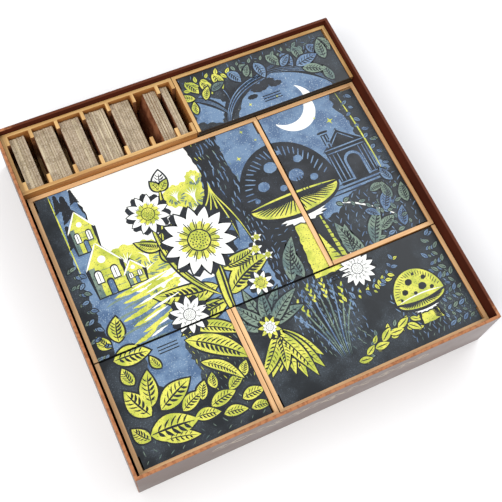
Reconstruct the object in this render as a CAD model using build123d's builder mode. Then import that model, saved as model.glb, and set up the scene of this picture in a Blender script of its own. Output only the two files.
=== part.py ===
"""Board game box base with a laser-cut insert: five lidded trays and one open tile tray.

Millimetres, +Z up. The origin is the centre of the underside of the box.
"""
import math
import os

from build123d import *

# --- cardboard box -----------------------------------------------------------
BOX_WIDTH = 295.0
BOX_DEPTH = 295.0
BOX_HEIGHT = 56.0
BOARD = 1.8                     # greyboard panels
PAPER = 0.3                     # glued wrap and liner papers
CORNER_RADIUS = 0.9             # folded paper at the upright corners
RIM_ROUND = 0.2                 # paper folded over the rim
TURN_IN = 0.3                   # wrap paper folded over the rim

# --- wooden insert -----------------------------------------------------------
TRAY_WALL = 3.3                 # panels of the four lower trays
BACK_WALL = 2.8                 # panels of the two taller back trays
TRAY_FLOOR = 3.0
LOW_TOP = 43.0                  # rim height of the four lower trays
HIGH_TOP = 50.5                 # rim height of the two taller trays
FINGERS = 5                     # finger joints up each corner

LID_THICKNESS = 2.8
LID_DROP = 1.0                  # lid face below the tray rim
GROOVE_DEPTH = 1.6
GROOVE_PLAY = 0.2               # room over the lid in its groove
LID_TONGUE = 1.4                # how far a lid reaches into its grooves
LID_RECESS = 0.3                # lid edge behind the tray's open side
SIDE_LID_RECESS = 0.8           # the same, on the side tray
NOTCH_LENGTH = 12.0             # corner notches at the lid's closed end
NOTCH_WIDTH = 1.4
GRIP_LENGTH = 16.0              # three engraved grip lines
GRIP_WIDTH = 0.9
GRIP_DEPTH = 0.5
GRIP_PITCH = 2.5
GRIP_INSET = 8.4

# --- where the trays stand ---------------------------------------------------
FRONT_ROW = (-144.3, -56.6)     # front and back faces of each row of trays
MIDDLE_ROW = (-55.6, 87.8)
BACK_ROW = (88.3, 144.6)
TRAYS_LEFT = -143.1
TRAYS_RIGHT = 144.1
CORNER_TRAY_RIGHT = -34.8
WIDE_TRAY_LEFT = -34.1
MAIN_TRAY_RIGHT = 53.4
SIDE_TRAY_LEFT = 54.1
LONG_TRAY_LEFT = 1.9

# --- open tile tray ----------------------------------------------------------
TILE_TRAY_LEFT = -144.8
TILE_TRAY_RIGHT = 1.3
DIVIDER_PITCH = 21.6
FIRST_DIVIDER = -121.0          # middle of the leftmost divider
DIVIDER_COUNT = 6
SCOOP_WIDTH = 35.0
SCOOP_DEPTH = 29.0
SCOOP_RADIUS = 11.0
TAB_LENGTH = 14.0

# --- chipboard tiles ---------------------------------------------------------
TILE_THICKNESS = 2.0
TILE_LENGTH = 50.0
TILE_HEIGHT = 42.0
TILE_CORNER = 1.5
TILE_GAP = 0.05
STACKS = (                      # left face and number of tiles
    (-139.0, 6),
    (-119.4, 8),
    (-97.8, 8),
    (-76.2, 8),
    (-54.6, 8),
    (-32.9, 5),
    (-10.6, 3),
)
LEANING_STACK = 5               # this one has tipped to the right
LEAN = 11.0                     # degrees

base = PAPER + BOARD + PAPER    # top of the lining paper on the box floor
tray_clear = 0.1                # tabs and slots
inner_half_x = BOX_WIDTH / 2 - base
inner_half_y = BOX_DEPTH / 2 - base

os.makedirs("parts", exist_ok=True)


def save(solid, name):
    """Label a finished piece and write its STEP file."""
    solid.label = name
    export_step(solid, f"parts/{name}.step")


def box_board(name, size_x, size_y, centre, height, z):
    """One flat greyboard panel of the cardboard box."""
    with BuildPart() as board:
        with BuildSketch(Plane.XY.offset(z)):
            with Locations(centre):
                Rectangle(size_x, size_y)
        extrude(amount=height)
    save(board.part, name)


def make_box():
    """Greyboard floor and walls, the wrap outside, the lining inside."""
    board_x = BOX_WIDTH - 2 * PAPER
    board_y = BOX_DEPTH - 2 * PAPER
    wall_top = BOX_HEIGHT - TURN_IN
    wall_bottom = PAPER + BOARD
    side_y = board_y - 2 * BOARD
    box_board("bottom_board", board_x, board_y, (0, 0), BOARD, PAPER)
    for name, sign in (("front_board", -1), ("back_board", 1)):
        middle = (0, sign * (board_y - BOARD) / 2)
        box_board(name, board_x, BOARD, middle, wall_top - wall_bottom, wall_bottom)
    for name, sign in (("left_board", -1), ("right_board", 1)):
        middle = (sign * (board_x - BOARD) / 2, 0)
        box_board(name, BOARD, side_y, middle, wall_top - wall_bottom, wall_bottom)

    with BuildPart() as bottom_paper:
        with BuildSketch():
            RectangleRounded(BOX_WIDTH, BOX_DEPTH, CORNER_RADIUS)
        extrude(amount=PAPER)
    save(bottom_paper.part, "bottom_paper")

    with BuildPart() as outer_wrap:
        with BuildSketch(Plane.XY.offset(PAPER)):
            RectangleRounded(BOX_WIDTH, BOX_DEPTH, CORNER_RADIUS)
            Rectangle(board_x, board_y, mode=Mode.SUBTRACT)
        extrude(amount=wall_top - PAPER)
        with BuildSketch(Plane.XY.offset(wall_top)):
            RectangleRounded(BOX_WIDTH, BOX_DEPTH, CORNER_RADIUS)
            Rectangle(2 * inner_half_x, 2 * inner_half_y, mode=Mode.SUBTRACT)
        extrude(amount=TURN_IN)
        fillet(outer_wrap.faces().sort_by(Axis.Z)[-1].edges(), RIM_ROUND)
    save(outer_wrap.part, "outer_wrap")

    with BuildPart() as lining:
        with BuildSketch(Plane.XY.offset(wall_bottom)):
            Rectangle(2 * inner_half_x, 2 * inner_half_y)
        extrude(amount=PAPER)
        with BuildSketch(Plane.XY.offset(wall_bottom)):
            Rectangle(2 * inner_half_x + 2 * PAPER, 2 * inner_half_y + 2 * PAPER)
            Rectangle(2 * inner_half_x, 2 * inner_half_y, mode=Mode.SUBTRACT)
        extrude(amount=wall_top - wall_bottom)
    save(lining.part, "lining")


def tray_plane(centre, opens):
    """Tray frame whose own -Y side is the side the lid slides out of."""
    across = {"front": (1, 0, 0), "back": (-1, 0, 0), "left": (0, -1, 0)}[opens]
    return Plane(origin=(centre[0], centre[1], base), x_dir=across, z_dir=(0, 0, 1))


def finger_levels(height):
    """Bottom height and tallness of each finger up a corner."""
    step = height / FINGERS
    return [(index * step, step) for index in range(FINGERS)]


def tray_panels(width, depth, height, wall, frame):
    """The five panels of a lidded tray, keyed by their side in the tray's frame."""
    groove_z = height - LID_DROP - LID_THICKNESS
    groove_high = LID_THICKNESS + GROOVE_PLAY
    rows = finger_levels(height)

    with BuildPart() as floor:
        with BuildSketch(frame):
            Rectangle(width - 2 * wall, depth - 2 * wall)
        extrude(amount=TRAY_FLOOR)

    with BuildPart() as closed_wall:
        for index, (z, tall) in enumerate(rows):
            length = width if index % 2 == 0 else width - 2 * wall
            with BuildSketch(frame.offset(z)):
                with Locations((0, (depth - wall) / 2)):
                    Rectangle(length, wall)
            extrude(amount=tall)
        with BuildSketch(frame.offset(groove_z)):
            with Locations((0, depth / 2 - wall + GROOVE_DEPTH / 2)):
                Rectangle(width - 2 * wall + 2 * GROOVE_DEPTH, GROOVE_DEPTH)
        extrude(amount=groove_high, mode=Mode.SUBTRACT)

    with BuildPart() as open_wall:
        for index, (z, tall) in enumerate(rows):
            if z >= groove_z:
                continue
            length = width if index % 2 == 0 else width - 2 * wall
            with BuildSketch(frame.offset(z)):
                with Locations((0, -(depth - wall) / 2)):
                    Rectangle(length, wall)
            extrude(amount=min(tall, groove_z - z))

    sides = {}
    for side, sign in (("low_x", -1), ("high_x", 1)):
        with BuildPart() as side_wall:
            for index, (z, tall) in enumerate(rows):
                trim = 2 * wall if index % 2 == 0 else 0
                with BuildSketch(frame.offset(z)):
                    with Locations((sign * (width - wall) / 2, 0)):
                        Rectangle(wall, depth - trim)
                extrude(amount=tall)
            over_sill = max(groove_z, rows[-1][0])
            with BuildSketch(frame.offset(over_sill)):
                with Locations((sign * (width - wall) / 2, -(depth - wall) / 2)):
                    Rectangle(wall, wall)
            extrude(amount=height - over_sill)
            with BuildSketch(frame.offset(groove_z)):
                with Locations((sign * (width / 2 - wall + GROOVE_DEPTH / 2), 0)):
                    Rectangle(GROOVE_DEPTH, depth)
            extrude(amount=groove_high, mode=Mode.SUBTRACT)
        sides[side] = side_wall.part
    return floor.part, closed_wall.part, open_wall.part, sides


def tray_lid(width, depth, height, wall, frame, recess):
    """Sliding lid with corner notches and three engraved grip lines."""
    lid_z = height - LID_DROP - LID_THICKNESS
    lid_width = width - 2 * wall + 2 * LID_TONGUE
    front = -depth / 2 + recess
    back = depth / 2 - wall + LID_TONGUE
    notch = LID_TONGUE + NOTCH_WIDTH
    with BuildPart() as lid:
        with BuildSketch(frame.offset(lid_z)):
            with Locations((0, (front + back) / 2)):
                Rectangle(lid_width, back - front)
            for sign in (-1, 1):
                with Locations((sign * (lid_width - notch) / 2, back - NOTCH_LENGTH / 2)):
                    Rectangle(notch, NOTCH_LENGTH, mode=Mode.SUBTRACT)
        extrude(amount=LID_THICKNESS)
        grips = [(0, -depth / 2 + GRIP_INSET + step * GRIP_PITCH) for step in (-1, 0, 1)]
        with BuildSketch(frame.offset(lid_z + LID_THICKNESS)):
            with Locations(*grips):
                Rectangle(GRIP_LENGTH, GRIP_WIDTH)
        extrude(amount=-GRIP_DEPTH, mode=Mode.SUBTRACT)
    return lid.part


def make_lidded_tray(name, x_span, y_span, top, wall, opens):
    """Build and save one tray and its lid."""
    centre = (sum(x_span) / 2, sum(y_span) / 2)
    size_x = x_span[1] - x_span[0]
    size_y = y_span[1] - y_span[0]
    width, depth = (size_y, size_x) if opens == "left" else (size_x, size_y)
    frame = tray_plane(centre, opens)
    height = top - base
    side_names = {
        "front": ("back", "front", "left", "right"),
        "back": ("front", "back", "right", "left"),
        "left": ("right", "left", "back", "front"),
    }[opens]
    floor, closed_wall, open_wall, sides = tray_panels(width, depth, height, wall, frame)
    save(floor, f"{name}_floor")
    save(closed_wall, f"{name}_{side_names[0]}_wall")
    save(open_wall, f"{name}_{side_names[1]}_wall")
    save(sides["low_x"], f"{name}_{side_names[2]}_wall")
    save(sides["high_x"], f"{name}_{side_names[3]}_wall")
    recess = SIDE_LID_RECESS if opens == "left" else LID_RECESS
    save(tray_lid(width, depth, height, wall, frame, recess), f"{name}_lid")


def scooped_plate(name, x_middle, has_tab):
    """Upright plate of the tile tray with a deep finger scoop in its top edge."""
    row_front, row_back = BACK_ROW
    length = row_back - row_front - 2 * BACK_WALL
    foot = base + TRAY_FLOOR
    y_middle = (row_front + row_back) / 2
    side_view = Plane(
        origin=(x_middle - BACK_WALL / 2, y_middle, foot), x_dir=(0, 1, 0), z_dir=(1, 0, 0)
    )
    height = HIGH_TOP - foot
    floor_of_scoop = height - SCOOP_DEPTH
    with BuildPart() as plate:
        with BuildSketch(side_view):
            with Locations((0, height / 2)):
                Rectangle(length, height)
            with BuildSketch(mode=Mode.SUBTRACT):
                with Locations((0, floor_of_scoop + SCOOP_DEPTH)):
                    Rectangle(SCOOP_WIDTH, 2 * SCOOP_DEPTH)
                fillet(vertices().group_by(Axis.Y)[0], SCOOP_RADIUS)
            if has_tab:
                with Locations((0, -TRAY_FLOOR / 2)):
                    Rectangle(TAB_LENGTH, TRAY_FLOOR)
        extrude(amount=BACK_WALL)
    save(plate.part, name)


def make_tile_tray():
    """Open tray at the back left: floor, three outer walls, two end plates, six dividers."""
    left, right = TILE_TRAY_LEFT, TILE_TRAY_RIGHT
    row_front, row_back = BACK_ROW
    y_middle = (row_front + row_back) / 2
    depth = row_back - row_front
    width = right - left
    x_middle = (left + right) / 2
    foot = base + TRAY_FLOOR
    divider_x = [FIRST_DIVIDER + index * DIVIDER_PITCH for index in range(DIVIDER_COUNT)]
    slots = [(x, y_middle) for x in divider_x]

    with BuildPart() as floor:
        with BuildSketch(Plane.XY.offset(base)):
            with Locations((x_middle + BACK_WALL / 2, y_middle)):
                Rectangle(width - BACK_WALL, depth - 2 * BACK_WALL)
            with Locations(*slots):
                slot_size = BACK_WALL + 2 * tray_clear, TAB_LENGTH + 2 * tray_clear
                Rectangle(*slot_size, mode=Mode.SUBTRACT)
        extrude(amount=TRAY_FLOOR)
    save(floor.part, "tile_tray_floor")

    for name, y in (("front", row_front + BACK_WALL / 2), ("back", row_back - BACK_WALL / 2)):
        with BuildPart() as long_wall:
            for index, (z, tall) in enumerate(finger_levels(HIGH_TOP - base)):
                start = left if index % 2 == 0 else left + BACK_WALL
                with BuildSketch(Plane.XY.offset(base + z)):
                    with Locations(((start + right) / 2, y)):
                        Rectangle(right - start, BACK_WALL)
                extrude(amount=tall)
        save(long_wall.part, f"tile_tray_{name}_wall")

    with BuildPart() as left_wall:
        for index, (z, tall) in enumerate(finger_levels(HIGH_TOP - base)):
            trim = 2 * BACK_WALL if index % 2 == 0 else 0
            with BuildSketch(Plane.XY.offset(base + z)):
                with Locations((left + BACK_WALL / 2, y_middle)):
                    Rectangle(BACK_WALL, depth - trim)
            extrude(amount=tall)
    save(left_wall.part, "tile_tray_left_wall")

    scooped_plate("tile_tray_left_end_plate", left + 1.5 * BACK_WALL, False)
    scooped_plate("tile_tray_right_end_plate", right - BACK_WALL / 2, False)
    for index, x in enumerate(divider_x):
        scooped_plate(f"divider_{index + 1}", x, True)


def make_tile_stack(name, left, count, lean):
    """Tiles standing on their long edge, side by side; a leaning stack tips to the right."""
    foot = base + TRAY_FLOOR
    y_middle = sum(BACK_ROW) / 2
    angle = math.radians(lean)
    step = (TILE_THICKNESS + TILE_GAP) / math.cos(angle)
    normal = (math.cos(angle), 0, -math.sin(angle))
    lift = TILE_THICKNESS * math.sin(angle)
    with BuildPart() as stack:
        for index in range(count):
            corner = (left + index * step, y_middle, foot + lift)
            face = Plane(origin=corner, x_dir=(0, 1, 0), z_dir=normal)
            with BuildSketch(face):
                with Locations((0, TILE_HEIGHT / 2)):
                    RectangleRounded(TILE_LENGTH, TILE_HEIGHT, TILE_CORNER)
            extrude(amount=TILE_THICKNESS)
    save(stack.part, name)


make_box()
for tray in (
    ("main_tray", (TRAYS_LEFT, MAIN_TRAY_RIGHT), MIDDLE_ROW, LOW_TOP, TRAY_WALL, "front"),
    ("side_tray", (SIDE_TRAY_LEFT, TRAYS_RIGHT), MIDDLE_ROW, LOW_TOP, TRAY_WALL, "left"),
    ("corner_tray", (TRAYS_LEFT, CORNER_TRAY_RIGHT), FRONT_ROW, LOW_TOP, TRAY_WALL, "back"),
    ("wide_tray", (WIDE_TRAY_LEFT, TRAYS_RIGHT), FRONT_ROW, LOW_TOP, TRAY_WALL, "back"),
    ("long_tray", (LONG_TRAY_LEFT, TRAYS_RIGHT), BACK_ROW, HIGH_TOP, BACK_WALL, "front"),
):
    make_lidded_tray(*tray)
make_tile_tray()
for number, (left_face, tiles) in enumerate(STACKS):
    tipped = LEAN if number == LEANING_STACK else 0.0
    make_tile_stack(f"tile_stack_{number + 1}", left_face, tiles, tipped)
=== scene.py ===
import math
import random

import bpy
import bmesh
from mathutils import Matrix, Vector
from mathutils.geometry import interpolate_bezier


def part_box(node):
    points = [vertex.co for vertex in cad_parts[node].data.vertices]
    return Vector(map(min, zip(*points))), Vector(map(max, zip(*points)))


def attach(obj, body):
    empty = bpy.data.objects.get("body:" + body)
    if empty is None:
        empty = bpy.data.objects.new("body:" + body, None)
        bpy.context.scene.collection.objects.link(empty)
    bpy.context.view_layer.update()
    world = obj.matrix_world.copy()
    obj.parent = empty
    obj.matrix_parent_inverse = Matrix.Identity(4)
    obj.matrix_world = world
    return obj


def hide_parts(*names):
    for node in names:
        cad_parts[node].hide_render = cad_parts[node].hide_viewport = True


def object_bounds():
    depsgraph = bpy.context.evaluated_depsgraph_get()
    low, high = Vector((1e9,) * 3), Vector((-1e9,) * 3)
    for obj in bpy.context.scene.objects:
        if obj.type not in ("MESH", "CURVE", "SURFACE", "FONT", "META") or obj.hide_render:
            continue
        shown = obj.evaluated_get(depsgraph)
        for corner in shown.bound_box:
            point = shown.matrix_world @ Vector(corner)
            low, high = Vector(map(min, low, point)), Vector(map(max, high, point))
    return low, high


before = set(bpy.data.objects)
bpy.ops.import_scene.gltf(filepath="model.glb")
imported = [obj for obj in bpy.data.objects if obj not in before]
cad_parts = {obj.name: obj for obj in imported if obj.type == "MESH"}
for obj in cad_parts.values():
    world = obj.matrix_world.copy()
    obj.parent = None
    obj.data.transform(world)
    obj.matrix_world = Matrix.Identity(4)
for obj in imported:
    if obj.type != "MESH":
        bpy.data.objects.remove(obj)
cad_low, cad_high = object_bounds()
MM = 0.001
PRINCIPLED = "Principled BSDF"


# ---- Floor, camera and studio light --------------------------------------------------------
# A plain pale table top, a high camera in front of the left corner of the box,
# and broad soft lamps: a window to the front left and a weaker one to the right.
FLOOR_SIZE, FLOOR_GAP = 6.0, 0.0003
CAMERA_PLACE, LOOK_AT = (-0.1575, -0.2454, 0.6815), (-0.0006, -0.0200, 0.0430)
CAMERA_ROLL, LENS = 10.80, 64.39
WORLD_COLOR, WORLD_STRENGTH = (0.95, 0.96, 1.0, 1.0), 0.75


def new_material(name, color, roughness, gloss=0.5):
    """Principled material with plain values, and its node tree."""
    material = bpy.data.materials.new(name)
    material.use_nodes = True
    tree = material.node_tree
    shader = tree.nodes[PRINCIPLED]
    shader.inputs["Base Color"].default_value = (*color, 1.0)
    shader.inputs["Roughness"].default_value = roughness
    shader.inputs["Specular IOR Level"].default_value = gloss
    return material, tree


bpy.ops.mesh.primitive_plane_add(size=FLOOR_SIZE, location=(0, 0, cad_low.z - FLOOR_GAP))
floor = bpy.context.object
floor.name = "floor"
floor.data.materials.append(new_material("pale_table", (0.86, 0.855, 0.85), 0.75)[0])

camera_data = bpy.data.cameras.new("camera")
camera_data.sensor_width = 36.0
camera_data.lens = LENS
camera_data.clip_start = 0.01
camera_data.clip_end = 20.0
camera = bpy.data.objects.new("camera", camera_data)
camera.location = CAMERA_PLACE
facing = (Vector(LOOK_AT) - camera.location).to_track_quat("-Z", "Y").to_matrix().to_4x4()
camera.rotation_euler = (facing @ Matrix.Rotation(math.radians(CAMERA_ROLL), 4, "Z")).to_euler()
bpy.context.collection.objects.link(camera)
bpy.context.scene.camera = camera


def area_lamp(name, place, size, watts, color):
    """Square soft lamp that looks at the middle of the box's underside."""
    lamp_data = bpy.data.lights.new(name, "AREA")
    lamp_data.shape = "SQUARE"
    lamp_data.size = size
    lamp_data.energy = watts
    lamp_data.color = color
    lamp = bpy.data.objects.new(name, lamp_data)
    bpy.context.collection.objects.link(lamp)
    lamp.location = place
    lamp.rotation_euler = (-Vector(place)).to_track_quat("-Z", "Y").to_euler()


area_lamp("window", (-0.9, -0.5, 1.2), 0.9, 16.0, (1.0, 0.985, 0.96))
area_lamp("fill", (0.9, 0.5, 1.1), 1.0, 9.0, (0.96, 0.98, 1.0))
world = bpy.data.worlds.new("studio")
world.use_nodes = True
backdrop = world.node_tree.nodes["Background"]
backdrop.inputs["Color"].default_value = WORLD_COLOR
backdrop.inputs["Strength"].default_value = WORLD_STRENGTH
bpy.context.scene.world = world
bpy.context.scene.view_settings.view_transform = "Standard"


# ---- Cardboard box -------------------------------------------------------------------------
# Greyboard floor and four walls, wrapped in satin printed paper that is folded over the rim and
# shows wear along the folds, lightened by a painted highlight along the front and left rim, and is
# lined with dark uncoated paper. A dull gold braid is printed in front.
FLOAT, INT, VECTOR = "NodeSocketFloat", "NodeSocketInt", "NodeSocketVector"


def new_group(name, inputs, outputs, kind="ShaderNodeTree"):
    """Empty node group with named sockets; gives it, its inputs and its output node."""
    group = bpy.data.node_groups.new(name, kind)
    for label, socket_type, value in inputs:
        socket = group.interface.new_socket(label, in_out="INPUT", socket_type=socket_type)
        if value is not None:
            socket.default_value = value
    for label, socket_type in outputs:
        group.interface.new_socket(label, in_out="OUTPUT", socket_type=socket_type)
    return group, group.nodes.new("NodeGroupInput").outputs, group.nodes.new("NodeGroupOutput")


def add_node(tree, kind, links=None, **settings):
    """Add a node, set its properties, and fill its inputs from sockets or plain values."""
    node = tree.nodes.new(kind)
    for key, value in settings.items():
        setattr(node, key, value)
    for key, source in (links or {}).items():
        if isinstance(source, bpy.types.NodeSocket):
            tree.links.new(source, node.inputs[key])
        else:
            node.inputs[key].default_value = source
    return node


def mix_color(tree, factor, first, second):
    """Colour that goes from the first to the second colour as factor goes from 0 to 1."""
    first, second = [c if isinstance(c, bpy.types.NodeSocket) else (*c, 1.0) for c in (first, second)]
    return add_node(tree, "ShaderNodeMix", {0: factor, 6: first, 7: second}, data_type="RGBA").outputs[2]


def calc(tree, operation, *sources):
    """One sum on sockets or plain numbers."""
    return add_node(tree, "ShaderNodeMath", dict(enumerate(sources)), operation=operation).outputs[0]


def remap(tree, value, low, high, to_low=0.0, to_high=1.0):
    """Smoothly stretch a value from one range to another."""
    ends = {"Value": value, "From Min": low, "From Max": high, "To Min": to_low, "To Max": to_high}
    return add_node(tree, "ShaderNodeMapRange", ends, interpolation_type="SMOOTHSTEP").outputs[0]


def noise_at(tree, vector, scale, **settings):
    """Noise of a given scale, 0 to 1, at a place."""
    ends = {"Vector": vector, "Scale": scale, **settings}
    return add_node(tree, "ShaderNodeTexNoise", ends).outputs["Fac"]


def make_fibre_group():
    """Short paper fibres and soft cloudy stains: a fine value and a broad value, 0 to 1."""
    inputs = [("Vector", VECTOR, None), ("Fibre Scale", FLOAT, 900.0), ("Cloud Scale", FLOAT, 25.0)]
    group, asked, result = new_group("paper_fibre", inputs, [("Fine", FLOAT), ("Cloud", FLOAT)])
    for label, scale, detail in (("Fine", "Fibre Scale", 3.0), ("Cloud", "Cloud Scale", 4.0)):
        group.links.new(noise_at(group, asked["Vector"], asked[scale], Detail=detail), result.inputs[label])
    return group


def make_fold_group():
    """Folds of the wrap at rim and upright corners, their flecks of wear lit by a painted highlight at the
    front and left, and the fading to the right.
    """
    inputs = [
        ("Vector", VECTOR, None),
        ("Half Width", FLOAT, cad_high.x),
        ("Rim Height", FLOAT, cad_high.z),
        ("Reach", FLOAT, 1.8 * MM),
        ("Fleck Scale", FLOAT, 420.0),
    ]
    outputs = [("Fold", FLOAT), ("Wear_And_Highlight", FLOAT), ("Fade", FLOAT)]
    group, asked, result = new_group("wrap_fold", inputs, outputs)
    x, y, z = add_node(group, "ShaderNodeSeparateXYZ", {0: asked["Vector"]}).outputs
    from_side = [calc(group, "SUBTRACT", asked["Half Width"], calc(group, "ABSOLUTE", at)) for at in (x, y)]
    from_corner = calc(group, "MULTIPLY", calc(group, "MAXIMUM", *from_side), 2.0)
    nearest = calc(group, "MINIMUM", from_corner, calc(group, "SUBTRACT", asked["Rim Height"], z))
    closeness = calc(group, "SUBTRACT", 1.0, calc(group, "DIVIDE", nearest, asked["Reach"]))
    # Painted highlight: the wear flecks are strongest along the front and left rim and corners, the sides
    # that face the light.
    highlight_side = calc(group, "MAXIMUM", calc(group, "MULTIPLY", y, -1.0), calc(group, "MULTIPLY", x, -1.0))
    grit = noise_at(group, asked["Vector"], asked["Fleck Scale"], Detail=8.0)
    flecks = remap(group, grit, 0.40, 0.62, 0.5, 1.0)
    rubbed = remap(group, highlight_side, 0.125, 0.146, 0.08, 1.0)
    wear_and_highlight = calc(group, "MULTIPLY", calc(group, "MULTIPLY", closeness, flecks), rubbed)
    group.links.new(remap(group, closeness, 0.0, 0.5), result.inputs["Fold"])
    group.links.new(remap(group, wear_and_highlight, 0.1, 0.8), result.inputs["Wear_And_Highlight"])
    group.links.new(remap(group, x, -0.15, 0.15), result.inputs["Fade"])
    return group


def make_vine_group():
    """Two strands that cross again and again along the front of the box, with a bead in each eye."""
    inputs = [
        ("Vector", VECTOR, None),
        ("Front", FLOAT, cad_low.y + 0.1 * MM),
        ("Height", FLOAT, 36.0 * MM),
        ("Swing", FLOAT, 5.0 * MM),
        ("Turns", FLOAT, 210.0),
        ("Half Length", FLOAT, 89.8 * MM),
    ]
    group, asked, result = new_group("braided_vine", inputs, [("Mask", FLOAT)])
    x, y, z = add_node(group, "ShaderNodeSeparateXYZ", {0: asked["Vector"]}).outputs
    rise = calc(group, "SUBTRACT", z, asked["Height"])
    wave = calc(group, "SINE", calc(group, "MULTIPLY", x, asked["Turns"]))
    swing = calc(group, "MULTIPLY", wave, asked["Swing"])
    gaps = [calc(group, "ABSOLUTE", calc(group, sign, rise, swing)) for sign in ("ADD", "SUBTRACT")]
    eye = calc(group, "SUBTRACT", 1.0, calc(group, "ABSOLUTE", wave))
    bead = calc(group, "ADD", calc(group, "ABSOLUTE", rise), calc(group, "MULTIPLY", eye, 10.0 * MM))
    nearest = calc(group, "MINIMUM", calc(group, "MINIMUM", *gaps), calc(group, "MULTIPLY", bead, 0.6))
    ink = remap(group, nearest, 0.6 * MM, 1.2 * MM, 1.0, 0.0)
    inside = calc(group, "LESS_THAN", calc(group, "ABSOLUTE", x), asked["Half Length"])
    in_front = calc(group, "LESS_THAN", y, asked["Front"])
    rubbed = remap(group, noise_at(group, asked["Vector"], 160.0), 0.42, 0.60, 0.25, 0.85)
    placed = calc(group, "MULTIPLY", inside, in_front)
    mask = calc(group, "MULTIPLY", calc(group, "MULTIPLY", ink, rubbed), placed)
    group.links.new(mask, result.inputs["Mask"])
    return group


fibre_group = make_fibre_group()
vine_group = make_vine_group()
fold_group = make_fold_group()


def group_node(tree, group, **values):
    """Put a shader group into a material, on object coordinates."""
    place = add_node(tree, "ShaderNodeTexCoord").outputs["Object"]
    node = add_node(tree, "ShaderNodeGroup")
    node.node_tree = group
    for key, value in values.items():
        node.inputs[key.replace("_", " ")].default_value = value
    tree.links.new(place, node.inputs["Vector"])
    return node.outputs


def looking_along(tree, axis, low, high, both_ways=True):
    """Mask of the faces that look along an axis, or against it too."""
    geometry = add_node(tree, "ShaderNodeNewGeometry")
    normal = add_node(tree, "ShaderNodeSeparateXYZ", {0: geometry.outputs["True Normal"]}).outputs[axis]
    return remap(tree, calc(tree, "ABSOLUTE", normal) if both_ways else normal, low, high)


def dress(tree, color, relief, strength, depth, patches=None, smooth=0.0, rough=0.0):
    """Send a colour, a bump and, if there are patches, a roughness to the shader."""
    shader = tree.nodes[PRINCIPLED]
    tree.links.new(color, shader.inputs["Base Color"])
    if patches:
        tree.links.new(remap(tree, patches, 0.3, 0.7, smooth, rough), shader.inputs["Roughness"])
    bump = add_node(tree, "ShaderNodeBump", {"Height": relief, "Strength": strength, "Distance": depth})
    tree.links.new(bump.outputs[0], shader.inputs["Normal"])


def paper_material(name, dark, light, roughness, fold=None, wear_and_highlight=None, faded=None, gold=None):
    """Plain paper, clouded and fibrous; the printed wrap also has its folds, wear with a painted highlight,
    and gold.
    """
    material, tree = new_material(name, dark, roughness, 0.15)
    fibre = group_node(tree, fibre_group)
    color = mix_color(tree, remap(tree, fibre["Cloud"], 0.35, 0.7), dark, light)
    if fold:
        creases = group_node(tree, fold_group)
        color = mix_color(tree, creases["Fade"], color, faded)
        color = mix_color(tree, creases["Fold"], color, fold)
        # Wear flecks on the folds, lightened at the front and left as a painted highlight.
        color = mix_color(tree, creases["Wear_And_Highlight"], color, wear_and_highlight)
        sheen = remap(tree, creases["Fold"], 0.0, 1.0, 0.3, 0.1)
        tree.links.new(sheen, tree.nodes[PRINCIPLED].inputs["Specular IOR Level"])
        color = mix_color(tree, group_node(tree, vine_group)["Mask"], color, gold)
    specks = remap(tree, fibre["Fine"], 0.62, 0.78, 0.0, 0.25)
    color = mix_color(tree, specks, color, tuple(min(1.0, 1.9 * c + 0.01) for c in light))
    dress(tree, color, fibre["Fine"], 0.25, 0.1 * MM, fibre["Cloud"], roughness - 0.07, roughness + 0.08)
    return material


def finish_node(node, material):
    """Give a CAD node its finish."""
    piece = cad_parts[node]
    piece.data.materials.clear()
    piece.data.materials.append(material)


# Its wear colour is also the painted highlight along the front and left rim.
wrap_print = paper_material(
    "wrap_print", (0.120, 0.078, 0.064), (0.165, 0.118, 0.102), 0.42,
    fold=(0.100, 0.026, 0.011), wear_and_highlight=(0.40, 0.17, 0.075), faded=(0.235, 0.185, 0.172),
    gold=(0.62, 0.53, 0.40),
)
lining_paper = paper_material("lining_paper", (0.056, 0.0080, 0.0022), (0.086, 0.0140, 0.0040), 0.8)
greyboard = paper_material("greyboard", (0.30, 0.27, 0.24), (0.38, 0.35, 0.31), 0.9)
for node in ("outer_wrap", "bottom_paper"):
    finish_node(node, wrap_print)
finish_node("lining", lining_paper)
for side in ("bottom", "front", "back", "left", "right"):
    finish_node(f"{side}_board", greyboard)


# ---- Wooden tray panels --------------------------------------------------------------------
# Three-millimetre laser-cut boards, finger jointed and glued, tan in the front trays and ochre in
# the back row. Up-facing cut edges are painted pale as painted light from above; the other faces
# are a darker, warmer brown with long grain, the wood's brown deepened as painted shade; ends scorched.
def make_grain_group():
    """Wood grain stretched by the Along vector: streaks and pores, both 0 to 1."""
    inputs = [("Vector", VECTOR, None), ("Along", VECTOR, (12.0, 160.0, 160.0))]
    group, asked, result = new_group("wood_grain", inputs, [("Streaks", FLOAT), ("Pores", FLOAT)])
    stretch = {0: asked["Vector"], 1: asked["Along"]}
    place = add_node(group, "ShaderNodeVectorMath", stretch, operation="MULTIPLY").outputs[0]
    for label, scale, roughness in (("Streaks", 1.6, 0.55), ("Pores", 9.0, 0.7)):
        noise = noise_at(group, place, scale, Detail=5.0, Roughness=roughness)
        group.links.new(noise, result.inputs[label])
    return group


grain_group = make_grain_group()
ALONG_GRAIN, ACROSS_GRAIN = 11.0, 170.0


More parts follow.
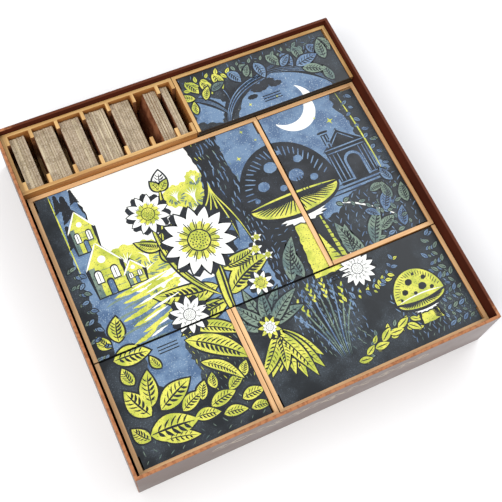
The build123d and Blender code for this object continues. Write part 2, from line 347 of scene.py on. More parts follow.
def board_material(name, long_axis, lit_top_dark, lit_top_light):
    """Laser-cut board whose panel runs along one axis: pale tops as painted light, brown faces, scorched
    ends.
    """
    material, tree = new_material(name, (0.5, 0.25, 0.1), 0.55)
    along = [ALONG_GRAIN if axis == long_axis else ACROSS_GRAIN for axis in range(3)]
    grain = group_node(tree, grain_group, Along=along)
    streaks = remap(tree, grain["Streaks"], 0.3, 0.7)
    face = mix_color(tree, streaks, (0.310, 0.115, 0.022), (0.480, 0.205, 0.050))
    edge = mix_color(tree, streaks, lit_top_dark, lit_top_light)
    scorch = mix_color(tree, streaks, (0.120, 0.045, 0.016), (0.250, 0.105, 0.038))
    # Painted light: faces that look up get the pale top colour, all others the darker face brown as painted
    # shade.
    color = mix_color(tree, looking_along(tree, 2, 0.4, 0.8, both_ways=False), face, edge)
    color = mix_color(tree, looking_along(tree, long_axis, 0.5, 0.8), color, scorch)
    pores = remap(tree, grain["Pores"], 0.60, 0.72, 0.0, 0.45)
    color = mix_color(tree, pores, color, (0.20, 0.085, 0.03))
    dress(tree, color, grain["Pores"], 0.3, 0.12 * MM, grain["Pores"], 0.48, 0.66)
    return material


TAN, PALE_TAN = (0.56, 0.305, 0.130), (0.78, 0.490, 0.235)
OCHRE, PALE_OCHRE = (0.40, 0.205, 0.058), (0.68, 0.430, 0.165)
boards = {
    (row, axis): board_material(f"{tone}_board_{'xy'[axis]}", axis, dark, light)
    for row, tone, dark, light in (("front", "tan", TAN, PALE_TAN), ("back", "ochre", OCHRE, PALE_OCHRE))
    for axis in (0, 1)
}
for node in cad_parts:
    low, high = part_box(node)
    if node.endswith(("_wall", "_plate", "tray_floor")) or node.startswith("divider"):
        row = "back" if node.startswith(("tile", "long", "divider")) else "front"
        finish_node(node, boards[row, 0 if high.x - low.x > high.y - low.y else 1])


# ---- Sliding lids --------------------------------------------------------------------------
# Charcoal boards with black scorched edges, clouded and flecked, that slide in grooves. The low
# walls under their open edges take the same charcoal as painted shade in the gaps between the lids.
def lid_material():
    """Satin charcoal on top, scorched black on the cut edges."""
    material, tree = new_material("lid_charcoal_and_shade", (0.035, 0.038, 0.050), 0.38, 0.32)
    fibre = group_node(tree, fibre_group, Fibre_Scale=1300.0, Cloud_Scale=38.0)
    cloud = remap(tree, fibre["Cloud"], 0.38, 0.66)
    color = mix_color(tree, cloud, (0.011, 0.014, 0.017), (0.034, 0.043, 0.052))
    flecks = calc(tree, "MULTIPLY", remap(tree, fibre["Fine"], 0.55, 0.68, 0.0, 0.6), cloud)
    color = mix_color(tree, flecks, color, (0.12, 0.16, 0.20))
    color = mix_color(tree, looking_along(tree, 2, 0.4, 0.8, both_ways=False), (0.018, 0.013, 0.010), color)
    dress(tree, color, fibre["Fine"], 0.12, 0.06 * MM, fibre["Cloud"], 0.30, 0.46)
    return material


lid_charcoal_and_shade = lid_material()
TRAYS = ("main_tray", "side_tray", "corner_tray", "wide_tray", "long_tray")
for tray in TRAYS:
    finish_node(f"{tray}_lid", lid_charcoal_and_shade)
# Painted shade: these walls take the lid charcoal so the gaps between the lids and the face under the long
# lid's edge read dark.
for wall in ("long_tray_front", "main_tray_front", "corner_tray_back", "wide_tray_back"):
    finish_node(f"{wall}_wall", lid_charcoal_and_shade)


# ---- Woodcut print on the lids -------------------------------------------------------------
# One night-garden picture over all the lids, in five inks that lie a hundredth of a millimetre
# over each other and stop at the notches and the grip lines. It is drawn in millimetres from the
# box's front left corner.
INK_STEP = 0.012 * MM
GRIP_INSET, GRIP_PITCH, GRIP_LENGTH, GRIP_WIDTH = 8.4 * MM, 2.5 * MM, 16.0 * MM, 0.9 * MM
NOTCH_LENGTH, NOTCH_WIDTH = 12.0 * MM, 1.4 * MM
TONGUE, EDGE_GAP = 1.4 * MM, 0.15 * MM
CUT_BELOW, CUT_ABOVE = 5 * INK_STEP, 40 * INK_STEP
OPENS = {
    "main_tray": (0, -1),
    "side_tray": (-1, 0),
    "corner_tray": (0, 1),
    "wide_tray": (0, 1),
    "long_tray": (0, -1),
}
INKS = ("blue", "white", "yellow", "sage", "charcoal")
shapes = {ink: [] for ink in INKS}
sprays = {ink: [] for ink in INKS}
SETTLE = 0.24


def turn(points, angle, x, y):
    """Turn an outline by an angle in degrees and move it."""
    c, s = math.cos(math.radians(angle)), math.sin(math.radians(angle))
    return [(x + px * c - py * s, y + px * s + py * c) for px, py in points]


def disc(x, y, across, up=None, steps=24, ripple=0.0, waves=0):
    """Ellipse, with a scalloped edge if it has waves."""
    up = up or across
    angles = [2 * math.pi * step / steps for step in range(steps)]
    swell = [1 + ripple * abs(math.sin(waves * a / 2)) for a in angles]
    return [(x + across * k * math.cos(a), y + up * k * math.sin(a)) for a, k in zip(angles, swell)]


def leaf(x, y, length, width, angle, bend=0.0, steps=12):
    """Pointed leaf from its stalk at x, y."""
    rise = [step / steps for step in range(1, steps)]
    half = [0.5 * width * math.sin(math.pi * t**0.82) ** 0.9 for t in rise]
    middle = [(t * length, bend * math.sin(math.pi * t)) for t in rise]
    upper = [(mx, my + h) for (mx, my), h in zip(middle, half)]
    lower = [(mx, my - h) for (mx, my), h in zip(middle, half)]
    return turn([(0, 0)] + lower + [(length, 0)] + upper[::-1], angle, x, y)


def stroke(start, pull_a, pull_b, end, width, steps=12):
    """Gouge mark along a Bezier curve, sharp at both ends."""
    knots = [Vector((*p, 0)) for p in (start, pull_a, pull_b, end)]
    line = interpolate_bezier(*knots, steps + 1)
    left, right = [], []
    for index in range(1, steps):
        along = (line[index + 1] - line[index - 1]).normalized()
        half = 0.5 * width * math.sin(math.pi * index / steps) ** 0.7
        side = Vector((-along.y, along.x, 0)) * half
        left.append(tuple((line[index] + side).xy))
        right.append(tuple((line[index] - side).xy))
    return [tuple(line[0].xy)] + right + [tuple(line[-1].xy)] + left[::-1]


def ragged(outline, tooth, seed, pitch=2.4):
    """Hand-cut version of a closed outline: extra points, pushed in and out."""
    chance = random.Random(seed)
    rough = []
    for (ax, ay), (bx, by) in zip(outline, outline[1:] + outline[:1]):
        length = math.hypot(bx - ax, by - ay)
        parts = max(1, round(length / pitch))
        nx, ny = (by - ay) / max(length, 0.01), (ax - bx) / max(length, 0.01)
        for part in range(parts):
            t, push = part / parts, chance.uniform(-tooth, tooth)
            rough.append((ax + (bx - ax) * t + nx * push, ay + (by - ay) * t + ny * push))
    return rough


def cut(ink, level, outline):
    """Put a shape into one of the inks; its neighbours in the list lie a fraction of a step apart."""
    shapes[ink].append((level + SETTLE * (len(shapes[ink]) % 4), outline))


def etch(level, outline):
    """Put a shape into the charcoal ink."""
    cut("charcoal", level, outline)


def field(ink, level, tooth, seed, outline):
    """Put a closed shape with a hand-cut edge into an ink."""
    cut(ink, level, ragged(outline, tooth, seed))


def around(x, y, across, up, angle):
    """Point of an ellipse at an angle in radians."""
    return x + across * math.cos(angle), y + up * math.sin(angle)


def veined_leaf(x, y, length, width, angle, ink, level, bend, veins=5):
    """Leaf with a charcoal rim, a coloured blade, charcoal veins and shade below the midrib."""
    heel = turn([(-1.2, 0)], angle, x, y)[0]
    etch(level, leaf(*heel, length + 3, width + 3, angle, bend))
    cut(ink, level + 1, leaf(x, y, length, width, angle, bend))
    rib = stroke((0, 0), (length * 0.3, bend), (length * 0.6, bend), (length * 0.93, 0), width * 0.09)
    etch(level + 2, turn(rib, angle, x, y))
    for vein in range(veins):
        t = 0.16 + 0.66 * vein / veins
        reach = 0.38 * width * math.sin(math.pi * t**0.82)
        root = (t * length, bend * math.sin(math.pi * t))
        for side in (-1, 1):
            tip = (root[0] + reach * 0.9, root[1] + side * reach)
            bow = (root[0] + reach * 0.3, root[1] + side * reach * 0.55)
            mark = stroke(root, bow, bow, tip, width * (0.07 if side > 0 else 0.13), steps=6)
            etch(level + 2, turn(mark, angle, x, y))


def bush(x, y, across, up, ink, level, seed):
    """Rounded shrub with gouged shading on its lower side and bare twigs in its middle."""
    cut(ink, level, disc(x, y, across, up, steps=48, ripple=0.16, waves=11))
    chance = random.Random(seed)
    for mark in range(9):
        angle = math.radians(196 + 18 * mark + chance.uniform(-6, 6))
        inner, outer = chance.uniform(0.45, 0.6), chance.uniform(0.8, 0.95)
        root = around(x, y, across * inner, up * inner, angle)
        line("sage", level + 1, root, around(x, y, across * outer, up * outer, angle + 0.25), 1.2)
    for mark in range(5):
        angle = math.radians(40 + 25 * mark)
        tip = around(x, y, across * 0.6, up * 0.6, angle)
        cut("white", level + 1, stroke((x, y - up * 0.8), (x, y - up * 0.2), (x, y), tip, 0.9, steps=6))


def pine(x, y, width, height, level):
    """Dark pine: drooping boughs on both sides of a stem."""
    for tier in range(6):
        low = y + height * tier / 7
        reach = width / 2 * (1 - tier / 7)
        for side in (-1, 1):
            root = (x - side * 0.8, low + height * 0.22)
            bough = ((x + side * reach * 0.7, low + height * 0.1), (x + side * reach, low))
            etch(level, stroke(root, root, *bough, height * 0.13, steps=6))


def quad(x, y, width, height):
    """Upright rectangle from its lower left corner."""
    return [(x, y), (x + width, y), (x + width, y + height), (x, y + height)]


def arch(x, y, width, height):
    """Window or door with a round head."""
    radius = width / 2
    head = [around(x + radius, y + height - radius, radius, radius, math.pi * step / 8) for step in range(9)]
    return [(x, y), (x + width, y)] + head


def line(ink, level, start, end, width):
    """Straight gouge mark, sharp at both ends."""
    cut(ink, level, stroke(start, start, end, end, width, steps=6))


def cottage(x, y, width, height, level):
    """Small gabled cottage: yellow wall, shaded side, pale eaves, white windows, blue door."""
    eave = height * 0.6
    middle = x + width / 2
    gable = [(x - 1.6, y + eave - 1.5), (x + width + 1.6, y + eave - 1.5), (middle, y + height)]
    low, ridge = y + eave - 3, (middle, y + height + 2)
    etch(level, [(x - 1, y - 1), (x + width + 1, y - 1), (x + width + 3, low), ridge, (x - 3, low)])
    cut("sage", level + 1, quad(x, y, width, eave))
    cut("yellow", level + 1, gable)
    cut("yellow", level + 2, ragged(quad(x + width * 0.2, y, width * 0.8, eave), 0.3, 31))
    for side in (-1, 1):
        foot = (middle + side * (width / 2 + 2.4), y + eave - 3)
        line("white", level + 3, foot, (middle, y + height), 1.3)
    cut("white", level + 3, disc(middle, y + eave * 1.12, width * 0.13, steps=12))
    for row in range(4):
        drop_y = y + eave * (0.2 + 0.2 * row)
        line("sage", level + 3, (x + width * 0.3, drop_y), (x + width, drop_y - 0.6), 0.5)
    for column in (0.12, 0.66):
        left, bar = x + width * column, x + width * (column + 0.1)
        etch(level + 4, arch(left - 0.7, y + eave * 0.4, width * 0.2 + 1.4, eave * 0.45))
        cut("white", level + 5, arch(left, y + eave * 0.44, width * 0.2, eave * 0.36))
        line("charcoal", level + 6, (bar, y + eave * 0.44), (bar, y + eave * 0.8), 0.6)
    etch(level + 4, arch(x + width * 0.38, y, width * 0.24, eave * 0.5))
    cut("blue", level + 5, arch(x + width * 0.42, y, width * 0.16, eave * 0.44))


CAP_SPOTS = (
    (-0.5, 0.34, 0.13), (-0.18, 0.62, 0.15), (0.26, 0.34, 0.17), (0.6, 0.2, 0.09),
    (-0.12, 0.2, 0.08), (0.46, 0.6, 0.1), (-0.76, 0.14, 0.06), (0.12, 0.82, 0.06),
)


def toadstool(x, y, across, up, stem, cap_ink, spot_ink, level):
    """Mushroom: spotted and gouged cap, pale gilled underside and a hatched stem."""
    half = across * 0.24
    foot = [(x - half * 1.7, y - stem), (x + half * 1.9, y - stem), (x + half, y), (x - half, y)]
    etch(level, [(px + (2 if px > x else -2), py) for px, py in foot])
    cut("yellow", level + 1, ragged(foot, 0.5, 3))
    for mark in range(11):
        sx = x - half * 0.1 + half * 0.12 * mark
        end = y - stem * (0.45 + 0.05 * mark)
        fibre = stroke((sx, y - 2), (sx, y - stem * 0.3), (sx + 1.5, end + 4), (sx + 3, end), 1.2, steps=8)
        etch(level + 2, fibre)
        low = y - stem + 0.06 * stem * mark
        line("charcoal", level + 2, (x + half * 1.75 - 0.1 * mark, low), (x + half * 0.6, low + 2.5), 1.0)
    frill = disc(x, y - up * 0.36, half * 1.7, up * 0.09, steps=26, ripple=0.3, waves=13)
    etch(level + 3, [(px, py - 1.2) for px, py in frill])
    cut("white", level + 4, frill)
    etch(level + 5, disc(x, y, across + 1.8, up * 0.34 + 1.4, steps=32))
    cut("yellow", level + 6, disc(x, y, across, up * 0.3, steps=32))
    for mark in range(23):
        angle = math.pi * (mark + 0.5) / 23
        rim = around(x, y, across * 0.94, -up * 0.27, angle)
        line("charcoal", level + 7, (x + half * 0.8 * math.cos(angle), y), rim, 1.1)
    dome = [around(x, y, across * 1.06, up, math.pi * step / 24) for step in range(25)]
    brim = [(x + across * (-1.06 + 0.2119 * step), y - 3.0 * math.sin(math.pi * step / 10))
            for step in range(1, 10)]
    etch(level + 8, [(px + (px - x) * 0.04, py + 1.2 if py > y + 1 else py) for px, py in dome + brim])
    cut(cap_ink, level + 9, [(x + (px - x) * 0.97, y + 1.4 + (py - y) * 0.95) for px, py in dome + brim])
    edge_ink, lip_ink = ("blue", "yellow") if cap_ink == "charcoal" else ("charcoal", "white")
    for mark in range(25):
        angle = math.radians(14 + 6.3 * mark)
        start = 0.86 - 0.10 * abs(math.sin(2.3 * mark))
        root = around(x, y, across * start, up * start, angle)
        line(edge_ink, level + 10, root, around(x, y, across, up * 0.95, angle + 0.05), 1.1 * across / 38)
    lip = [(x + across * at, y + rise) for at, rise in ((-1, 1), (-0.4, 4), (0.4, 4), (1, 1))]
    cut(lip_ink, level + 10, stroke(*lip, 1.8 * across / 38, steps=16))
    for sx, sy, size in CAP_SPOTS:
        spot = disc(x + across * sx, y + up * sy, across * size, across * size * 0.85, steps=14)
        cut(spot_ink, level + 11, ragged(spot, 0.25, 5))


GOLDEN_ANGLE, SEEDS = 2.39996, 34


def blossom(x, y, radius, petals, level, petal_ink="white", heart_ink="yellow"):
    """Open daisy-like flower with hatched petals and a seeded heart."""
    etch(level, disc(x, y, radius * 0.8, steps=48, ripple=0.35, waves=petals))
    for petal in range(petals):
        angle = 360 * petal / petals + 7
        root = turn([(radius * 0.2, 0), (radius * 0.24, 0)], angle, x, y)
        etch(level + 1, leaf(*root[0], radius * 0.86, radius * 0.44, angle))
        cut(petal_ink, level + 2, leaf(*root[1], radius * 0.76, radius * 0.33, angle))
        for side in (-1, 0, 1):
            near = (radius * 0.3, side * radius * 0.03)
            far = (radius * (0.66 - 0.1 * abs(side)), side * radius * 0.07)
            etch(level + 3, turn(stroke(near, near, far, far, radius * 0.03, 5), angle, x, y))
    cut(heart_ink, level + 3, disc(x, y, radius * 0.44, steps=petals * 4, ripple=0.3, waves=petals))
    etch(level + 4, disc(x, y, radius * 0.33, steps=28))
    cut(heart_ink, level + 5, disc(x, y, radius * 0.28, steps=28, ripple=0.06, waves=20))
    for seed in range(SEEDS):
        turned, out = seed * GOLDEN_ANGLE, radius * 0.25 * math.sqrt((seed + 0.5) / SEEDS)
        etch(level + 6, disc(*around(x, y, out, out, turned), radius * 0.022, steps=6))


# Main tray: pale sky over cottages, shrubs and water; the sky runs on behind the big trunk.
field("blue", 1, 1.3, 11, [
    (20, 236), (40, 236), (40, 150), (62, 141), (99, 128), (150, 140), (163, 92), (21, 92), (19, 130),
])
field("white", 2, 1.0, 12, [
    (35, 236), (138, 236), (140, 206), (135, 182), (133, 160), (122, 122), (84, 118), (60, 126),
    (46, 140), (40, 165), (36, 190), (43, 206), (38, 222),
])
field("blue", 1.5, 1.0, 13, [(157, 233.5), (199, 233.5), (199, 150), (160, 150), (165, 178), (158, 205)])
field("blue", 2.6, 1.0, 14, [(130, 172), (154, 172), (160, 92), (126, 92), (128, 130)])
line("yellow", 3, (20.5, 158), (19.5, 234), 1.1)
PINES = ((29, 204, 12, 26), (24, 182, 8, 22), (37, 218, 8, 14), (24, 214, 9, 18))
for x, y, width, height in PINES:
    pine(x, y, width, height, 3)
BUSHES = (
    (56, 158, 14, 12, 1), (72, 157, 12, 11, 2), (66, 146, 24, 8, 3), (112, 194, 9, 9, 4),
    (125, 190, 12, 13, 5), (131, 203, 6, 7, 6), (74, 128, 12, 6, 7), (122, 177, 8, 7, 8),
)
for x, y, across, up, seed in BUSHES:
    bush(x, y, across, up, "yellow", 3, seed)
for row in range(7):
    y = 136 - 6.6 * row
    furrow = leaf(36 + 5 * (row % 3), y - 3, 56 - 5 * row, 5.0 - 0.3 * row, 9 + 2 * row, -2.0, 16)
    cut("yellow", 4 + 0.5 * row, ragged(furrow, 0.3, 20 + row, pitch=1.6))
    foam = leaf(50 + 9 * (row % 2), y - 2.0, 34 - 3 * row, 1.8, 8 + row)
    cut("white", 8 + 0.5 * row, ragged(foam, 0.2, 40 + row, pitch=1.6))
    shade = leaf(28 + 11 * (row % 2), y - 7.5, 20 + 3 * row, 1.6, 6, 1.0)
    cut("sage", 4 + 0.5 * row, shade)
for x, y, width, height in ((25, 176, 17, 36), (27, 137, 24, 44), (52, 138, 13, 20)):
    cottage(x, y, width, height, 5)

field("charcoal", 5, 0.8, 15, [
    (134, 238), (163, 238), (161, 206), (165, 184), (176, 168), (172, 150), (166, 132), (164, 92),
    (157, 92), (154, 120), (152, 148), (146, 160), (130, 168), (110, 172), (126, 176), (134, 188),
    (138, 208),
])
for root in range(5):
    reach = 9 * root
    buttress = ((146, 196), (142, 178 - root), (132 + reach * 0.6, 170), (116 + reach, 166 - reach))
    gleam = ((140, 196), (138, 182 - root), (128 + reach * 0.6, 173), (117 + reach, 168 - reach))
    etch(5.5 + 0.5 * root, stroke(*buttress, 5.5, steps=14))
    cut("yellow", 8 + 0.5 * root, stroke(*gleam, 1.0, steps=14))

# The flowers in the middle: two stems with long leaves, a wide bloom, a small one and a bud.
MIDDLE_LEAVES = (
    (112, 112, 50, 17, 168, 4), (92, 142, 20, 9, 108, 3), (86, 166, 20, 8, 22, -2),
    (86, 158, 22, 8, 150, 2), (118, 102, 46, 17, 24, 4), (114, 98, 44, 15, 196, -3),
    (120, 124, 34, 13, 10, -3),
)
for x, y, length, width, angle, bend in MIDDLE_LEAVES:
    veined_leaf(x, y, length, width, angle, "yellow", 7, bend, veins=9)
STEMS = (
    (6.0, (118, 80), (109, 100), (124, 122), (115, 156)),
    (3.6, (112, 104), (96, 120), (80, 140), (86, 192)),
    (2.6, (87, 158), (92, 176), (100, 186), (103, 208)),
)
for width, *path in STEMS:
    etch(10, stroke(*path, width + 3.2, steps=18))
    cut("yellow", 11, stroke(*path, width, steps=18))
    etch(12, stroke(*[(x + width * 0.2, y) for x, y in path], width * 0.3, steps=18))
veined_leaf(103, 204, 17, 11, 74, "white", 10, 0, veins=4)
veined_leaf(102, 203, 11, 6, 112, "yellow", 13, 0, veins=3)
veined_leaf(103, 203, 11, 6, 44, "yellow", 13, 0, veins=3)
blossom(86, 188, 17, 11, 13)
blossom(114, 152, 29, 14, 16)
blossom(83, 99, 15, 10, 13, "white", "white")
blossom(143, 101, 10, 8, 13, "white", "yellow")
for x, y, radius in ((151, 128, 6), (158, 120, 4.5), (156, 137, 4.5)):
    blossom(x, y, radius, 5, 8, "white", "yellow")

# The large toadstool stands across the wall between the main and the side tray.
FOOT_LEAVES = (
    (166, 92, 38, 66), (176, 92, 30, 92), (230, 92, 34, 110), (222, 90, 30, 84), (240, 94, 34, 58),
)
for x, y, length, angle in FOOT_LEAVES:
    veined_leaf(x, y, length, 11, angle, "sage", 4, 2, veins=7)
toadstool(199, 157, 38, 50, 70, "charcoal", "blue", 8)

# Side tray: night sky, crescent moon, a garden temple with an arch, steps and ferny banks.
field("blue", 1, 1.2, 16, [
    (200, 233.5), (268, 233.5), (266, 220), (272, 200), (270, 180), (280, 160), (284, 150), (262, 146),
    (240, 142), (226, 132), (200, 128),
])
MOON, MOON_RADIUS, SHADOW, SHADOW_RADIUS = (232, 230), 20, (226, 237), 18.5
outside = [p for p in disc(*MOON, MOON_RADIUS, steps=64) if math.dist(p, SHADOW) > SHADOW_RADIUS]
inside = [p for p in disc(*SHADOW, SHADOW_RADIUS, steps=64) if math.dist(p, MOON) < MOON_RADIUS]
crescent = []
for arc, centre, way in ((outside, MOON, 1), (inside, SHADOW, -1)):
    turned = [(math.degrees(math.atan2(y - centre[1], x - centre[0])) - 130) % 360 for x, y in arc]
    crescent += [p for _, p in sorted(zip(turned, arc), reverse=way < 0)]
cut("white", 3, crescent)
field("charcoal", 3, 0.3, 17, quad(240, 150, 35, 34))
etch(3, [(238, 183), (277, 183), (257.5, 201)])
etch(3, quad(243, 184, 6, 17))
for inset, width in ((0, 1.4), (3.4, 0.9)):
    line("blue", 5, (240 + 2 * inset, 185 + 0.4 * inset), (257.5, 200 - inset), width)
    line("blue", 5, (275 - 2 * inset, 185 + 0.4 * inset), (257.5, 200 - inset), width)
COURSES = ((184, 238, 277), (180.5, 240, 275), (153, 236, 279), (149.5, 230, 283), (146, 226, 286))
for y, left, right in COURSES:
    line("blue", 5, (left, y), (right, y), 1.2)
    line("charcoal", 4, (left, y - 1.7), (right, y - 1.7), 1.5)
for x in (241.5, 245, 249, 268, 271.5, 274):
    line("blue", 5, (x, 153), (x, 180), 1.0)
POSTS = ((244, 186, 1.4, 12), (247, 186, 0.9, 12), (228, 153, 3, 18), (233, 153, 3, 14))
for x, y, width, height in POSTS:
    etch(4, quad(x - 1, y, width + 2, height + 1))
    cut("blue", 5, quad(x, y, width, height))
line("charcoal", 4, (241, 201), (251, 201), 2.4)
line("blue", 5, (241, 199.5), (251, 199.5), 1.2)
cut("blue", 6, arch(251, 152, 16, 25))
etch(7, arch(253, 152, 12, 22.5))
cut("white", 4, stroke((226, 138), (240, 138), (256, 124), (278, 102), 1.5, steps=18))
BANK_LEAVES = (
    (262, 118, 20, 58, "blue"), (272, 126, 16, 96, "sage"), (250, 104, 18, 24, "sage"),
    (270, 100, 18, 70, "blue"), (246, 124, 13, -40, "blue"), (282, 118, 18, 80, "sage"),
    (258, 138, 14, 8, "sage"), (280, 140, 15, 110, "blue"),
)
for x, y, length, angle, ink in BANK_LEAVES:
    veined_leaf(x, y, length, length * 0.46, angle, ink, 5, 0.8, veins=6)
cut("yellow", 4, stroke((276.5, 148), (277.5, 176), (276, 204), (273, 234), 1.3, steps=18))

# Corner tray: evening sky, a bush of big leaves in the corner, long leaves on the right.
field("blue", 1, 1.2, 18, [(40, 94), (76, 94), (70, 74), (74, 56), (66, 40), (54, 44), (40, 60)])
field("blue", 1, 1.0, 21, [(96, 94), (112, 94), (112, 78), (100, 80)])
CORNER_LEAVES = (
    (18, 88, 28, 15, -6), (27, 100, 20, 12, 76), (20, 98, 14, 9, 120), (25, 66, 15, 9, 104),
    (48, 70, 12, 6, 112), (28, 40, 27, 15, 116), (31, 46, 27, 13, 76), (36, 41, 31, 15, 26),
    (21, 24, 16, 10, 128), (22, 27, 36, 19, -4), (30, 20, 26, 9, -14), (50, 34, 20, 10, 24),
    (56, 26, 19, 9, -10), (66, 36, 14, 8, 62), (70, 29, 21, 10, 10), (78, 40, 12, 7, 80),
    (76, 20, 18, 8, -10), (87, 35, 16, 8, 26), (93, 25, 18, 9, 2), (101, 40, 12, 7, 60),
    (96, 16, 15, 7, -8),
)
for x, y, length, width, angle in CORNER_LEAVES:
    veined_leaf(x, y, length, width, angle, "yellow", 4 + 0.5 * (x % 5), 1.0)
for x, y, length, width, angle in ((72, 82, 52, 15, -38), (78, 90, 44, 10, -28), (76, 62, 34, 8, -44)):
    veined_leaf(x, y, length, width, angle, "yellow", 8, 3.0, veins=10)

# Wide tray: a hanging fan of leaves, tall grass, a daisy, a yellow toadstool and dark ferns.
for number in range(9):
    angle = -48 - 10.5 * number
    length = 43 + 8 * math.sin(0.8 * number + 0.4)
    veined_leaf(131 + 1.4 * number, 65, length, 10, angle, "yellow", 5 + 2.2 * (number % 3), 2, veins=9)
for number in range(7):
    length, level = 30 + 3 * (number % 3), 12 + 2 * (number % 2)
    veined_leaf(136, 66, length, 9, 150 - 23 * number, "sage", level, 2, veins=6)
blossom(134, 66, 9, 9, 19, "yellow", "white")
for number in range(9):
    lean = number - 4
    tip = (180 + 6.2 * lean, 84 - 1.1 * lean * lean)
    stem = stroke((178 + lean, 22), (178 + 2 * lean, 44), (180 + 5 * lean, 60), tip, 1.1, steps=16)
    cut("sage" if number % 3 else "blue", 5, stem)
    for step in range(6):
        ear = (tip[0] - 0.5 * lean * step * 0.6, tip[1] - 2.6 * step)
        cut("yellow" if number % 2 else "blue", 6 + 0.3 * step, leaf(*ear, 4.2, 1.7, 62 + 56 * (step % 2)))
blossom(217, 82, 14.5, 14, 9, "white", "white")
toadstool(252, 41, 20, 24, 20, "yellow", "charcoal", 6)


GEOMETRY, OBJECT, MATERIAL = "NodeSocketGeometry", "NodeSocketObject", "NodeSocketMaterial"
GEOMETRY_TREE = "GeometryNodeTree"


def random_value(tree, low, high, seed):
    """A random number for each point or copy."""
    return add_node(tree, "FunctionNodeRandomValue", {2: low, 3: high, "Seed": seed}).outputs[1]


def vector_of(tree, x=0.0, y=0.0, z=0.0):
    """Vector of three sockets or numbers."""
    return add_node(tree, "ShaderNodeCombineXYZ", {0: x, 1: y, 2: z}).outputs[0]


def realize(tree, copies, material, result):
    """Turn the copies into real geometry with one material and send them out."""
    real = add_node(tree, "GeometryNodeRealizeInstances", {"Geometry": copies})
    ends = {"Geometry": real.outputs[0], "Material": material}
    tree.links.new(add_node(tree, "GeometryNodeSetMaterial", ends).outputs[0], result.inputs[0])


def make_spray_tree():
    """Geometry nodes: copies of a mark along a curve, leaning left and right of it in turn."""
    inputs = [
        ("Geometry", GEOMETRY, None),
        ("Mark", OBJECT, None),
        ("Spacing", FLOAT, 0.01),
        ("Splay", FLOAT, 0.9),
        ("Size", FLOAT, 1.0),
        ("Spread", FLOAT, 0.3),
        ("Seed", INT, 1),
        ("Ink", MATERIAL, None),
    ]
    tree, asked, result = new_group("spray_of_marks", inputs, [("Geometry", GEOMETRY)], GEOMETRY_TREE)
    points = add_node(tree, "GeometryNodeCurveToPoints", {"Curve": asked["Geometry"]}, mode="LENGTH")
    tree.links.new(asked["Spacing"], points.inputs["Length"])
    mark = add_node(tree, "GeometryNodeObjectInfo", {"Object": asked["Mark"], "As Instance": True})
    along = add_node(tree, "ShaderNodeSeparateXYZ", {0: points.outputs["Tangent"]}).outputs
    heading = calc(tree, "ARCTAN2", along[1], along[0])
    odd = calc(tree, "MODULO", add_node(tree, "GeometryNodeInputIndex").outputs[0], 2.0)
    side = calc(tree, "SUBTRACT", calc(tree, "MULTIPLY", odd, 2.0), 1.0)
    lean = calc(tree, "ADD", heading, calc(tree, "MULTIPLY", side, asked["Splay"]))
    angle = calc(tree, "ADD", lean, random_value(tree, -0.3, 0.3, asked["Seed"]))
    least = calc(tree, "SUBTRACT", 1.0, asked["Spread"])
    shrink = random_value(tree, least, 1.0, calc(tree, "ADD", asked["Seed"], 7.0))
    size = calc(tree, "MULTIPLY", shrink, asked["Size"])
    ends = {"Points": points.outputs[0], "Instance": mark.outputs["Geometry"],
            "Rotation": vector_of(tree, z=angle), "Scale": vector_of(tree, size, size, shrink)}
    copies = add_node(tree, "GeometryNodeInstanceOnPoints", ends).outputs[0]
    realize(tree, copies, asked["Ink"], result)
    return tree


def bridge(mesh, rings):
    """Close a row of vertex rings into a solid."""
    mesh.faces.new(rings[0][::-1])
    mesh.faces.new(rings[-1])
    for near, far in zip(rings, rings[1:]):
        for index in range(len(near)):
            after = (index + 1) % len(near)
            mesh.faces.new((near[index], near[after], far[after], far[index]))


def add_prism(mesh, outline, low, high, origin=(0.0, 0.0)):
    """Closed upright solid on an outline given in millimetres."""
    area = sum(a[0] * b[1] - b[0] * a[1] for a, b in zip(outline, outline[1:] + outline[:1]))
    if area < 0:
        outline = outline[::-1]
    spots = [(origin[0] + x * MM, origin[1] + y * MM) for x, y in outline]
    bridge(mesh, [[mesh.verts.new((*spot, z)) for spot in spots] for z in (low, high)])


def mesh_object(name, mesh):
    """Make an object of a bmesh and put it in the scene."""
    data = bpy.data.meshes.new(name)
    mesh.to_mesh(data)
    mesh.free()
    piece = bpy.data.objects.new(name, data)
    bpy.context.collection.objects.link(piece)
    return piece


def plain_copy(piece):
    """The evaluated mesh of an object, with its modifiers applied."""
    bpy.context.view_layer.update()
    evaluated = piece.evaluated_get(bpy.context.evaluated_depsgraph_get())
    return bpy.data.meshes.new_from_object(evaluated)


def drop(piece):
    """Remove a helper object and its data."""
    data = piece.data
    bpy.data.objects.remove(piece)
    if isinstance(data, bpy.types.Mesh):
        bpy.data.meshes.remove(data)
    else:
        bpy.data.curves.remove(data)


def grow(piece, tree, values):
    """Run a geometry tree on an object, with its inputs set by identifier; gives the plain mesh."""
    keys = {item.name: item.identifier for item in tree.interface.items_tree if item.in_out == "INPUT"}
    copies = piece.modifiers.new("copies", "NODES")
    copies.node_group = tree
    for label, value in values.items():
        copies[keys[label]] = value
    plain = plain_copy(piece)
    piece.modifiers.remove(copies)
    return plain


spray_tree = make_spray_tree()


